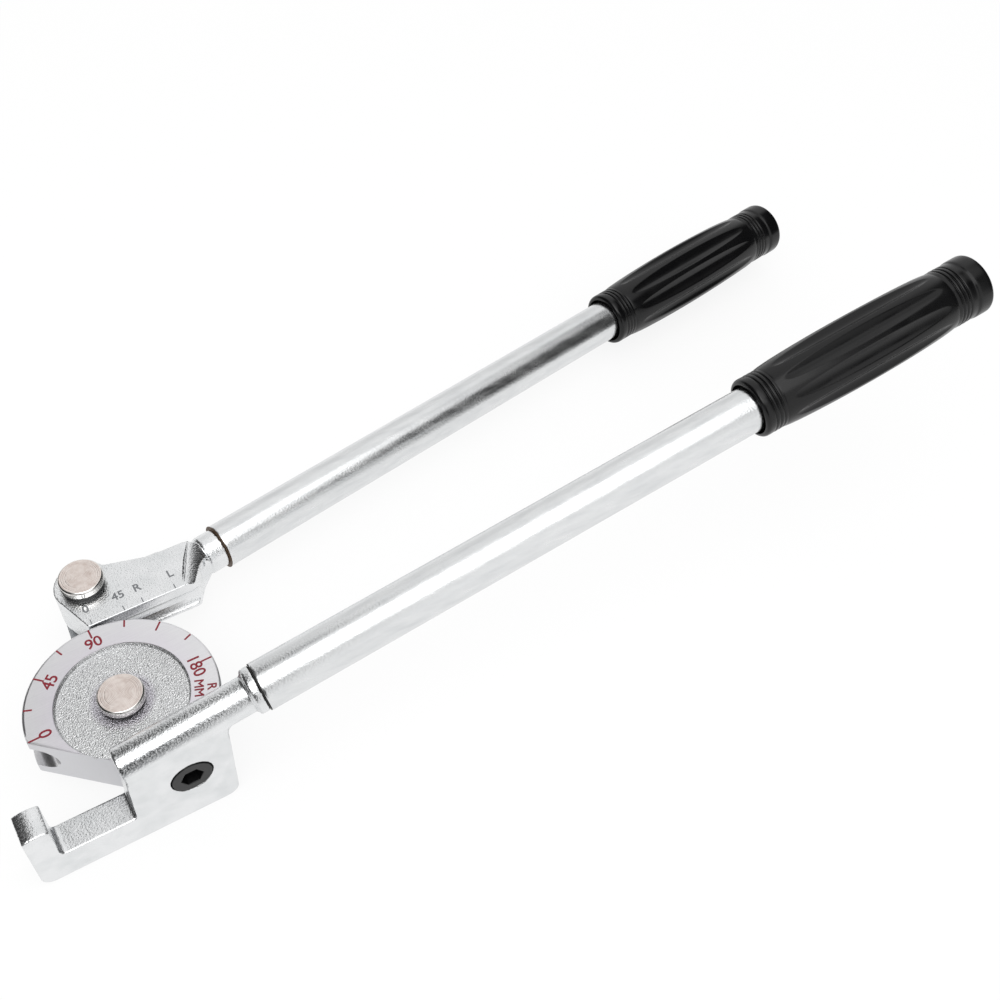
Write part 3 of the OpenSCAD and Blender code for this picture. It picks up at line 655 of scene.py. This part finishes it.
# Grip: one flute's strip is shaped flat, repeated round the handle, rolled up and closed at both ends
gripSizes = {"length": 121.4, "lip": 13.4, "most": 15.5, "waist": 13.3, "flange": 13.8, "fullness": 0.62,
             "round": 1.8, "ringed": 10.5, "rings": 3, "ringStep": 2.1, "ringCut": 0.5, "ringWide": 0.5,
             "ringShift": 0.2, "flangeLength": 9.0, "bore": 10.08, "boreLength": 116.5,
             "endLoops": (0.93, 0.5, 0.1), "flutes": 10, "phase": -1.8, "fluteDepth": 2.2, "fluteHalf": 14.2,
             "fluteStart": 0.05, "fluteEnd": 0.95, "fluteTip": 0.12, "tipFade": 8, "lensEnds": 0.36,
             "edgeCrease": 0.75, "columns": 14, "landColumns": 3, "rows": 52, "merge": 0.002,
             "level": 0.0005, "smoothWithin": 60}
quarterRound = [math.radians(18 * corner) for corner in range(6)]


def gripOutline():  # distance along the grip and radius, with the ring grooves rounded
    size = gripSizes
    swellEnd = size["length"] - size["flangeLength"] - size["ringed"]
    step = size["ringStep"]
    points = []
    for angle in quarterRound:
        points.append((size["round"] * (1 - math.cos(angle)),
                       size["lip"] - size["round"] * (1 - math.sin(angle))))

    def grooves(first, crest):
        for ring in range(size["rings"]):
            middle = first + step * (ring + size["ringShift"])
            for across in (-0.5, -0.3, -0.15, 0, 0.15, 0.3, 0.5):
                dip = 0.5 + 0.5 * math.cos(2 * math.pi * across)
                points.append((middle + across * step * size["ringWide"], crest - size["ringCut"] * dip))

    grooves(step * 2, size["lip"])
    for row in range(size["rows"] + 1):
        share = 0.5 - 0.5 * math.cos(math.pi * row / size["rows"])
        swell = max(math.sin(math.pi * share), 0) ** size["fullness"]
        points.append((size["ringed"] + share * (swellEnd - size["ringed"]),
                       size["waist"] + (size["most"] - size["waist"]) * swell))
    grooves(swellEnd + step, size["waist"] + size["ringCut"] / 2)
    flangeStart = swellEnd + size["ringed"]
    for part in (0, 0.25, 0.5, 0.75, 1):
        ease = part * part * (3 - 2 * part)
        points.append((flangeStart + part * size["round"],
                       size["waist"] + (size["flange"] - size["waist"]) * ease))
    for angle in quarterRound:
        points.append((size["length"] - size["round"] * (1 - math.sin(angle)),
                       size["flange"] - size["round"] * (1 - math.cos(angle))))
    return points


def makeGrip(pieceName):
    size = gripSizes
    outline = gripOutline()
    pitch = 2 * math.pi * size["most"] / size["flutes"] * mm
    half = size["columns"] // 2
    fluteHalf = half - size["landColumns"]  # the land lies on each side of the flute
    fullWidth = size["fluteHalf"] * size["columns"] / (360 / size["flutes"] * fluteHalf)
    bpy.ops.object.select_all(action="DESELECT")
    bpy.ops.mesh.primitive_grid_add(x_subdivisions=size["columns"], y_subdivisions=len(outline) - 1, size=1,
                                    rotation=(math.pi / 2, 0, 0))
    grip = bpy.context.object
    grip.name = pieceName
    settle(grip)
    editMode(grip, action="SELECT")
    bpy.ops.transform.resize(value=(pitch, 1, 1), center_override=(0, 0, 0))
    mesh = bmesh.from_edit_mesh(grip.data)
    mesh.verts.ensure_lookup_table()
    columnOf = {point.index: round(point.co.x / pitch * size["columns"]) for point in mesh.verts}
    rowOf = {point.index: round((point.co.z + 0.5) * (len(outline) - 1)) for point in mesh.verts}
    for column in range(fluteHalf):  # the flute's section, at full depth in every row
        hollow = 1 - (column / fluteHalf) ** 2
        selectPoints(grip, lambda point: abs(columnOf[point.index]) == column)
        bpy.ops.transform.translate(value=(0, size["fluteDepth"] * mm * hollow, 0))
    swellEnd = size["length"] - size["flangeLength"] - size["ringed"]
    fluteFrom, fluteTo = [size["ringed"] + part * (swellEnd - size["ringed"])
                          for part in (size["fluteStart"], size["fluteEnd"])]
    for row, (along, radius) in enumerate(outline):
        share = (along - size["ringed"]) / (swellEnd - size["ringed"])
        part = (share - size["fluteStart"]) / (size["fluteEnd"] - size["fluteStart"])
        if 0 < part < 1:
            lens = math.sin(math.pi * part) ** size["lensEnds"]
            wide = (size["fluteTip"] + (1 - size["fluteTip"]) * lens) * fullWidth
        else:  # beyond its tips the columns spread out evenly again
            lens = 0
            beyond = min(1, max(-part, part - 1) * size["tipFade"])
            wide = size["fluteTip"] * fullWidth
            wide += (1 - wide) * beyond
        land = (half - fluteHalf * wide) / (half - fluteHalf)
        selectPoints(grip, lambda point: rowOf[point.index] == row
                     and abs(columnOf[point.index]) <= fluteHalf)
        bpy.ops.transform.resize(value=(wide, lens * lens, 1), center_override=(0, 0, 0))
        for side in (-1, 1):
            selectPoints(grip, lambda point: rowOf[point.index] == row
                         and columnOf[point.index] * side > fluteHalf)
            bpy.ops.transform.resize(value=(land, 1, 1), center_override=(side * pitch / 2, 0, 0))
        selectPoints(grip, lambda point: rowOf[point.index] == row)
        rowHeight = row / (len(outline) - 1) - 0.5
        bpy.ops.transform.translate(value=(0, (size["most"] - radius) * mm, along * mm - rowHeight))
    bpy.ops.mesh.select_mode(type="EDGE")
    mesh = bmesh.from_edit_mesh(grip.data)
    for edge in mesh.edges:  # the two long edges of the flute stay crisp
        ends = [point.index for point in edge.verts]
        along = outline[rowOf[ends[0]]][0]
        edge.select_set(all(abs(columnOf[end]) == fluteHalf for end in ends)
                        and columnOf[ends[0]] == columnOf[ends[1]] and fluteFrom < along < fluteTo)
    bmesh.update_edit_mesh(grip.data)
    bpy.ops.transform.edge_crease(value=size["edgeCrease"])
    bpy.ops.mesh.select_mode(type="VERT")
    bpy.ops.mesh.select_all(action="SELECT")
    bpy.ops.transform.translate(value=(pitch * size["phase"] / (360 / size["flutes"]), 0, 0))
    objectMode()
    around = grip.modifiers.new("around", "ARRAY")
    around.count = size["flutes"]
    around.use_relative_offset = False
    around.use_constant_offset = True
    around.constant_offset_displace = (pitch, 0, 0)
    around.use_merge_vertices = True
    around.merge_threshold = samePoint * mm
    rollUp = grip.modifiers.new("rollUp", "SIMPLE_DEFORM")
    rollUp.deform_method = "BEND"
    rollUp.deform_axis = "Z"
    rollUp.angle = 2 * math.pi
    applyModifiers(grip)
    editMode(grip, action="SELECT")
    bpy.ops.mesh.remove_doubles(threshold=size["merge"] * mm)
    bpy.ops.transform.translate(value=(0, -size["most"] * mm, 0))
    bpy.ops.mesh.select_all(action="DESELECT")
    # The mouth and its bore
    selectPoints(grip, lambda point: abs(point.co.z) < size["level"] * mm)
    faceIn = size["bore"] / (size["lip"] - size["round"])
    bpy.ops.mesh.extrude_edges_move(TRANSFORM_OT_translate={"value": (0, 0, 0)})
    bpy.ops.transform.resize(value=(faceIn, faceIn, 1), center_override=(0, 0, 0))
    bpy.ops.mesh.extrude_edges_move(TRANSFORM_OT_translate={"value": (0, 0, size["boreLength"] * mm)})
    bpy.ops.mesh.edge_face_add()
    bpy.ops.mesh.select_all(action="DESELECT")
    # The closed end
    selectPoints(grip, lambda point: abs(point.co.z - size["length"] * mm) < size["level"] * mm)
    for shrink in size["endLoops"]:
        bpy.ops.mesh.extrude_edges_move(TRANSFORM_OT_translate={"value": (0, 0, 0)})
        bpy.ops.transform.resize(value=(shrink, shrink, 1), center_override=(0, 0, 0))
    bpy.ops.mesh.edge_face_add()
    bpy.ops.mesh.select_all(action="SELECT")
    bpy.ops.mesh.normals_make_consistent(inside=False)
    objectMode()
    finer = grip.modifiers.new("finer", "SUBSURF")
    finer.levels = 1
    finer.render_levels = 1
    applyModifiers(grip)
    smoothTo(grip, size["smoothWithin"])
    return grip


fixedGrip = makeGrip("fixedGrip")
leverGrip = fixedGrip.copy()
leverGrip.data = fixedGrip.data.copy()
leverGrip.name = "leverGrip"
bpy.context.scene.collection.objects.link(leverGrip)
for grip, handleName in ((fixedGrip, "fixed"), (leverGrip, "lever")):
    placeAlong(grip, handles[handleName], handles[handleName]["grip"])
    dress(grip, handles[handleName]["body"], "black_grip", gripBlack, handleName + "_grip")
print("grips made")


# Printed marks, a skin of ink on the steel: lines and labels with their tops outward
inkSizes = {"height": 0.04, "sink": 0.01, "corner": 0.3, "swell": 0.10}
dialSizes = {"zero": 181.0, "step": 22.5, "steps": 8, "rim": 37.5, "long": 4.6, "short": 3.4,
             "lineWidth": 0.75, "labelRadius": 30.4, "labelSize": 7.0,
             "labels": {"0": 180.2, "45": 135.5, "90": 91.4, "180": -0.4},
             "unitLabels": {"R": (34.4, -20.7), "MM": (29.4, -20.9)}, "unitSize": 5.2}
leverSizes = {"edge": 39.5, "line": 2.7, "lines": (1.8, 15.7, 23.8, 37.9), "labelSize": 5.4, "labelY": 47.9,
              "labels": {"0": 2.0, "45": 15.8, "R": 24.0, "L": 38.6}, "lineWidth": 0.45}


def inkLine(fromPoint, toPoint, width):  # both marked faces lie at height 0
    dx, dy = toPoint[0] - fromPoint[0], toPoint[1] - fromPoint[1]
    bpy.ops.object.select_all(action="DESELECT")
    bpy.ops.mesh.primitive_cube_add(size=1, rotation=(0, 0, math.atan2(dy, dx)), location=(
        (fromPoint[0] + toPoint[0]) / 2 * mm, (fromPoint[1] + toPoint[1]) / 2 * mm,
        (inkSizes["height"] / 2 - inkSizes["sink"]) * mm))
    line = bpy.context.object
    line.scale = (math.hypot(dx, dy) * mm, width * mm, inkSizes["height"] * mm)
    settle(line)
    editMode(line, "EDGE")
    mesh = bmesh.from_edit_mesh(line.data)
    for edge in mesh.edges:  # the four upright corners are rounded
        edge.select_set(abs(edge.verts[0].co.z - edge.verts[1].co.z) > 0.5 * inkSizes["height"] * mm)
    bmesh.update_edit_mesh(line.data)
    bpy.ops.mesh.bevel(offset=width * inkSizes["corner"] * mm, segments=3)
    objectMode()
    return line


def inkLabel(words, size, centre, turn):
    bpy.ops.object.select_all(action="DESELECT")
    bpy.ops.object.text_add()
    label = bpy.context.object
    label.data.body = words
    label.data.size = size * mm
    label.data.align_x = "CENTER"
    label.data.align_y = "CENTER"
    label.data.bevel_depth = inkSizes["swell"] * mm  # a bolder stroke
    label.data.bevel_resolution = 1
    label.data.resolution_u = 4
    bpy.ops.object.convert(target="MESH")
    label = bpy.context.object
    label.rotation_euler = (0, 0, math.radians(turn))
    label.location = (centre[0] * mm, centre[1] * mm, inkSizes["sink"] * mm)
    settle(label)
    return label


def joinInk(pieces, pieceName):
    bpy.ops.object.select_all(action="DESELECT")
    for piece in pieces:
        piece.select_set(True)
    bpy.context.view_layer.objects.active = pieces[0]
    bpy.ops.object.join()
    joined = bpy.context.object
    joined.name = pieceName
    editMode(joined, action="SELECT")
    bpy.ops.mesh.remove_doubles(threshold=samePoint * mm)
    bpy.ops.mesh.normals_make_consistent(inside=False)
    objectMode()
    return joined


def onDial(radius, degrees):
    return radius * math.cos(math.radians(degrees)), radius * math.sin(math.radians(degrees))


dialInk = []
for mark in range(dialSizes["steps"] + 1):
    degrees = dialSizes["zero"] - dialSizes["step"] * mark
    inner = dialSizes["rim"] - (dialSizes["long"] if mark % 2 == 0 else dialSizes["short"])
    dialInk.append(inkLine(onDial(dialSizes["rim"], degrees), onDial(inner, degrees),
                           dialSizes["lineWidth"]))
for words, degrees in dialSizes["labels"].items():
    dialInk.append(inkLabel(words, dialSizes["labelSize"], onDial(dialSizes["labelRadius"], degrees),
                            degrees - 90))
for words, (radius, degrees) in dialSizes["unitLabels"].items():
    dialInk.append(inkLabel(words, dialSizes["unitSize"], onDial(radius, degrees), degrees - 90))
dress(joinInk(dialInk, "dialMarks"), "frame", "dial_steel", plain["redDialInk"])

leverInk = []
for x in leverSizes["lines"]:
    leverInk.append(inkLine((x, leverSizes["edge"]), (x, leverSizes["edge"] + leverSizes["line"]),
                            leverSizes["lineWidth"]))
for words, x in leverSizes["labels"].items():
    leverInk.append(inkLabel(words, leverSizes["labelSize"], (x, leverSizes["labelY"]), 0))
dress(joinInk(leverInk, "leverMarks"), "lever", "plated_forging", plain["greyEtchedMark"])
print("marks made")


# CAD parts that keep their own shape
keptNodes = {
    "plainTurnedSteel": ("wheel_dowels", "centre_thrust_washer", "centre_washer", "lever_spacer",
                         "lever_washer"),
    # the top washers are dark to stand for the shade gap under the pin heads (painted shade)
    "phosphatedSteelAndShadeGap": ("centre_top_washer", "centre_retaining_ring", "lever_top_washer",
                              "lever_retaining_ring")}
for finishName, nodeNames in keptNodes.items():
    for nodeName in nodeNames:
        frame["nodes"][nodeName].data.materials.clear()
        frame["nodes"][nodeName].data.materials.append(plain[finishName])
print("kept nodes finished")


# Studio: pale floor, soft light from above and in front, and dark parts of the room for metal to show
studio = {"floorSize": 5.0, "floorX": 0.15, "floorGap": 0.3, "floorColour": "#f4f4f4", "floorGlow": 0.86,
          "floorMirror": 0.90, "softLight": 0.92, "horizon": 0.98, "overhead": 0.90, "overheadBy": 45,
          "darkest": 0.04}
roomShades = [  # how dark, then azimuth and height in degrees: where it starts, is full, ends and has gone
    {"dark": 1.00, "azimuth": (96, 104, 181, 182), "height": (-12, 2, 58, 74)},
    {"dark": 1.00, "azimuth": (-182, -181, -160, -142), "height": (-12, 2, 44, 62)},
    {"dark": 1.00, "azimuth": (-60, -46, 24, 46), "height": (-10, 4, 52, 62)},
    {"dark": 0.75, "azimuth": (-63, -56, -44, -37), "height": (8, 18, 58, 65)},
    {"dark": 0.95, "azimuth": (-160, -130, -104, -93), "height": (-14, -2, 44, 56)},
    {"dark": 0.18, "azimuth": (40, 58, 100, 110), "height": (-24, -10, 30, 44)}]
lampSizes = {
    "overhead": {"at": (0.12, -0.30, 0.95), "aim": (0.08, 0.0, 0.0), "size": 0.9, "power": 2.6},
    "front": {"at": (-0.35, -0.45, 0.95), "aim": (0.05, 0.0, 0.0), "size": 0.6, "power": 2.0}}
cameraSizes = {"at": (-17.94, -298.49, 435.91), "turn": (40.2559, -1.1948, -30.9717), "lens": 46.33,
               "sensor": 36.0, "nearest": 0.01, "farthest": 20.0}


def rayKinds(tree):  # the camera's own rays, those that metal or glass sends on, and both together
    rays = addNode(tree, "ShaderNodeLightPath")
    mirrorRay = addNode(tree, "ShaderNodeMath", {"operation": "MAXIMUM"}, {
        0: rays.outputs["Is Glossy Ray"], 1: rays.outputs["Is Transmission Ray"]})
    seenRay = addNode(tree, "ShaderNodeMath", {"operation": "MAXIMUM"}, {
        0: rays.outputs["Is Camera Ray"], 1: mirrorRay})
    return rays.outputs["Is Camera Ray"], mirrorRay, seenRay


bpy.ops.object.select_all(action="DESELECT")
bpy.ops.mesh.primitive_plane_add(size=studio["floorSize"], location=(
    studio["floorX"], 0, cadBox[0][2] - studio["floorGap"] * mm))
floor = bpy.context.object
floor.name = "studioFloor"
settle(floor)

floorPaper = bpy.data.materials.new("paleStudioPaper")
floorPaper.use_nodes = True
tree = floorPaper.node_tree
tree.nodes.clear()
cameraRay, mirrorRay, seenRay = rayKinds(tree)
glow = addNode(tree, "ShaderNodeMath", {"operation": "MULTIPLY"}, {0: seenRay, 1: studio["floorGlow"]})
matt = addNode(tree, "ShaderNodeBsdfDiffuse", inputs={"Color": studio["floorColour"]})
whiteness = addNode(tree, "ShaderNodeMath", {"operation": "MULTIPLY_ADD"}, {
    0: mirrorRay, 1: studio["floorMirror"] - 1, 2: 1.0})
white = addNode(tree, "ShaderNodeEmission", inputs={"Color": (1, 1, 1, 1), "Strength": whiteness})
paper = addNode(tree, "ShaderNodeMixShader", inputs={0: glow, 1: matt, 2: white})
addNode(tree, "ShaderNodeOutputMaterial", inputs={"Surface": paper})
floor.data.materials.append(floorPaper)

room = bpy.data.worlds.new("studioRoom")
bpy.context.scene.world = room
room.use_nodes = True
tree = room.node_tree
tree.nodes.clear()
cameraRay, mirrorRay, seenRay = rayKinds(tree)
place = addNode(tree, "ShaderNodeTexCoord")
spot = addNode(tree, "ShaderNodeSeparateXYZ", inputs={"Vector": place.outputs["Generated"]})
azimuth = addNode(tree, "ShaderNodeMath", {"operation": "ARCTAN2"}, {
    0: spot.outputs["Y"], 1: spot.outputs["X"]})
height = addNode(tree, "ShaderNodeMath", {"operation": "ARCSINE"}, {0: spot.outputs["Z"]})
wallTone = addNode(tree, "ShaderNodeMapRange", inputs={
    "Value": height, "From Min": 0.0, "From Max": math.radians(studio["overheadBy"]),
    "To Min": studio["horizon"], "To Max": studio["overhead"]})
for shade in roomShades:
    cover = shade["dark"]
    for angle, limits in ((azimuth, shade["azimuth"]), (height, shade["height"])):
        low, lowEnd, high, highEnd = [math.radians(limit) for limit in limits]
        for start, end in ((low, lowEnd), (highEnd, high)):
            edge = addNode(tree, "ShaderNodeMapRange", {"interpolation_type": "SMOOTHSTEP"}, {
                "Value": angle, "From Min": start, "From Max": end})
            cover = addNode(tree, "ShaderNodeMath", {"operation": "MULTIPLY"}, {0: cover, 1: edge})
    wallTone = addNode(tree, "ShaderNodeMix", inputs={
        "Factor": cover, "A": wallTone, "B": studio["darkest"]})
seenWall = addNode(tree, "ShaderNodeMath", {"operation": "MAXIMUM"}, {0: wallTone, 1: cameraRay})
walls = addNode(tree, "ShaderNodeBackground", inputs={"Color": seenWall, "Strength": 1.0})
soft = addNode(tree, "ShaderNodeBackground", inputs={"Color": (1, 1, 1, 1), "Strength": studio["softLight"]})
light = addNode(tree, "ShaderNodeMixShader", inputs={0: seenRay, 1: soft, 2: walls})
addNode(tree, "ShaderNodeOutputWorld", inputs={"Surface": light})

for lampName, lamp in lampSizes.items():
    bpy.ops.object.light_add(type="AREA", location=lamp["at"])
    made = bpy.context.object
    made.name = lampName + "Lamp"
    made.data.shape = "SQUARE"
    made.data.size = lamp["size"]
    made.data.energy = lamp["power"]
    away = made.location - Vector(lamp["aim"])
    made.rotation_euler = away.to_track_quat("Z", "Y").to_euler()

bpy.ops.object.camera_add(location=[at * mm for at in cameraSizes["at"]],
                          rotation=[math.radians(degrees) for degrees in cameraSizes["turn"]])
camera = bpy.context.object
camera.name = "photoCamera"
camera.data.lens = cameraSizes["lens"]
camera.data.sensor_width = cameraSizes["sensor"]
camera.data.clip_start = cameraSizes["nearest"]
camera.data.clip_end = cameraSizes["farthest"]
bpy.context.scene.camera = camera
bpy.context.scene.view_settings.view_transform = "Standard"
print("studio made")
